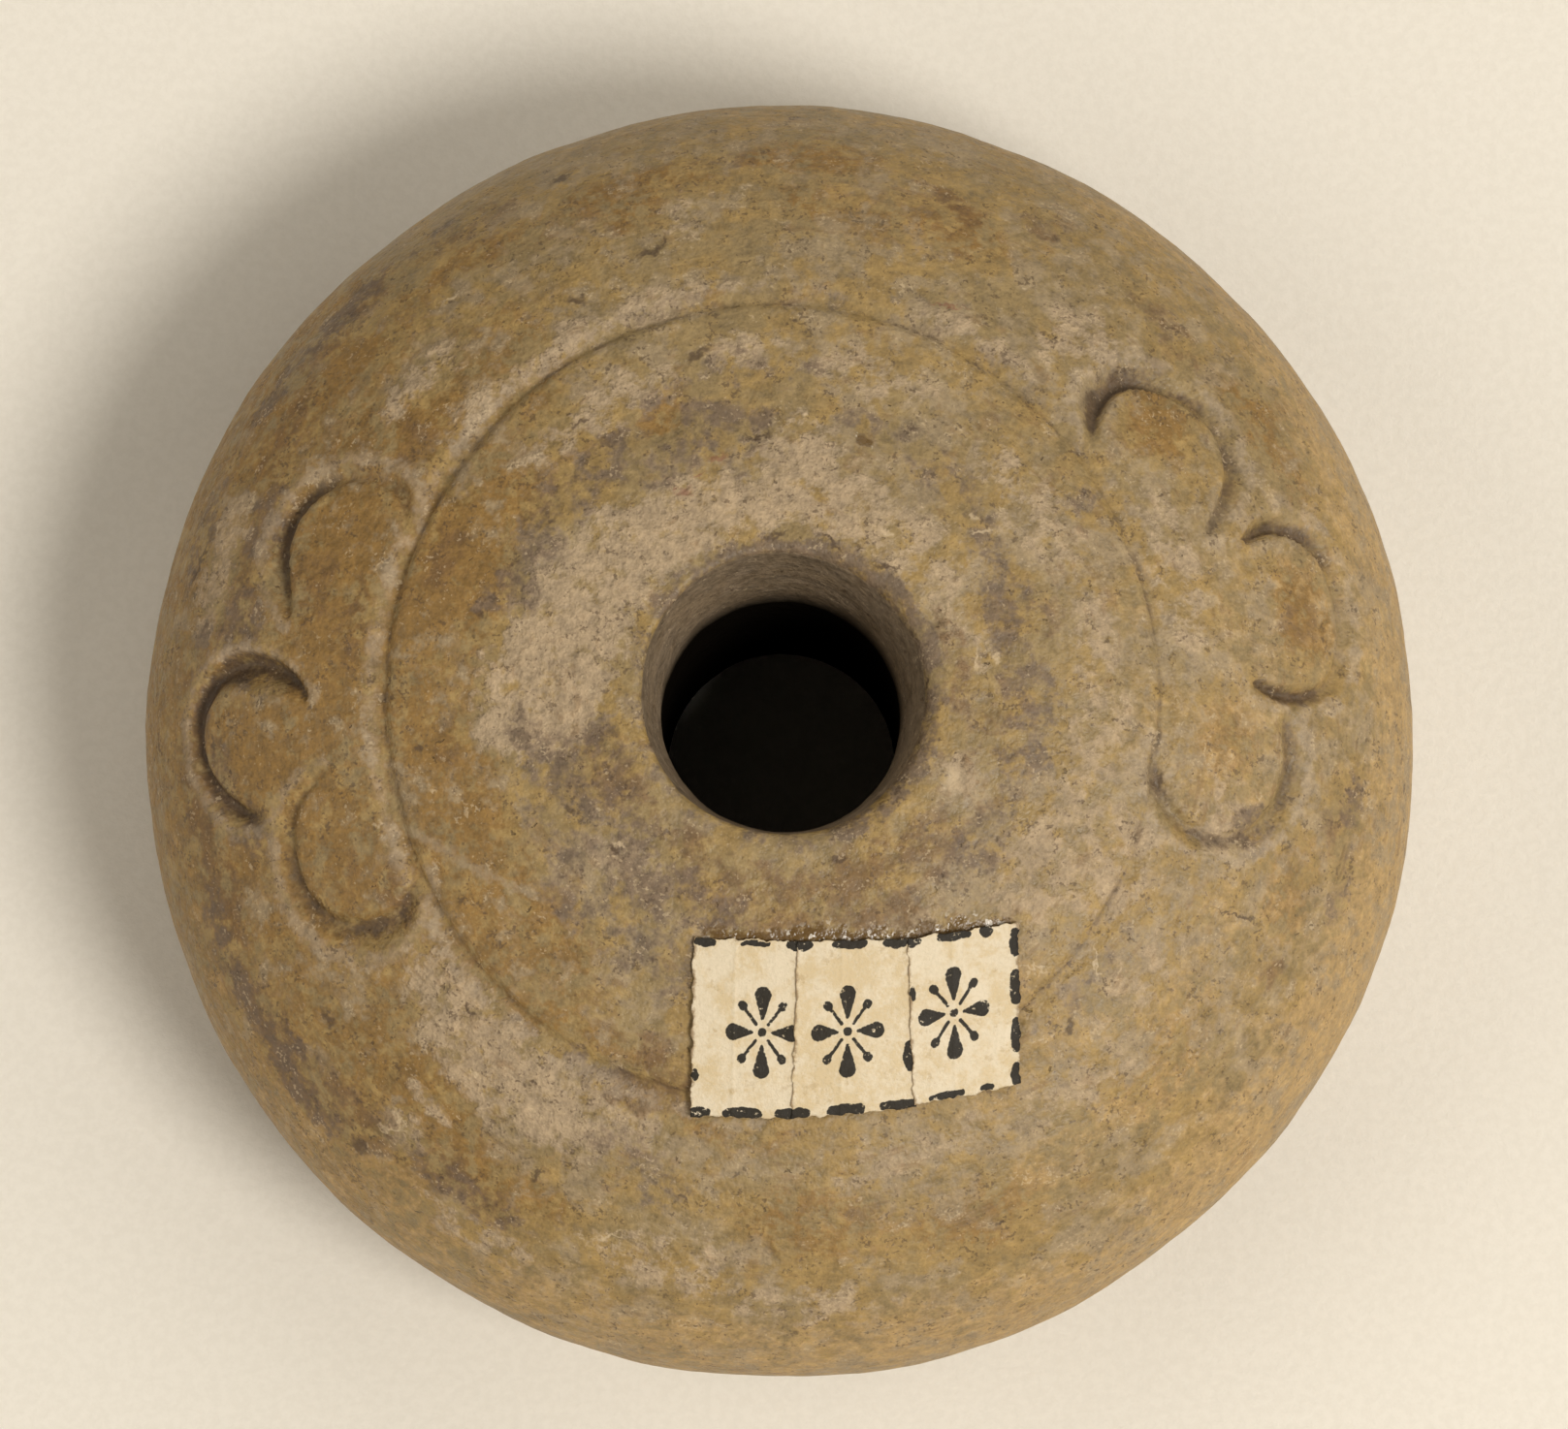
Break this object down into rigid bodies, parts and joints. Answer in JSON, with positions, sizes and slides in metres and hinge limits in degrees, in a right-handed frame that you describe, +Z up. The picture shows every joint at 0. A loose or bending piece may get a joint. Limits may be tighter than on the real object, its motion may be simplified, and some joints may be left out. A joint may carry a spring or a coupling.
{
  "type": "clay spindle whorl",
  "caption": "Squat globular fired-clay spindle whorl with a bore for the shaft, an incised circle and two moulded three-lobed motifs on its upper half.",
  "frame": {"origin": "centre of the underside, which the whorl rests on", "axes": "+Z up along the bore, +Y along the slightly longer width, away from the paper slips; the three-lobed motifs lie towards +X and -X"},
  "size_m": [0.0516, 0.0524, 0.0221],
  "materials": {
    "burnished_clay": "burnished ochre fired clay, worn to a pinkish grey round the bore",
    "aged_paper": "aged cream paper with a worn printed border"
  },
  "bodies": {
    "root": {"clay_whorl": "burnished_clay", "paper_slip_left": "aged_paper", "paper_slip_middle": "aged_paper", "paper_slip_right": "aged_paper"}
  },
  "joints": []
}
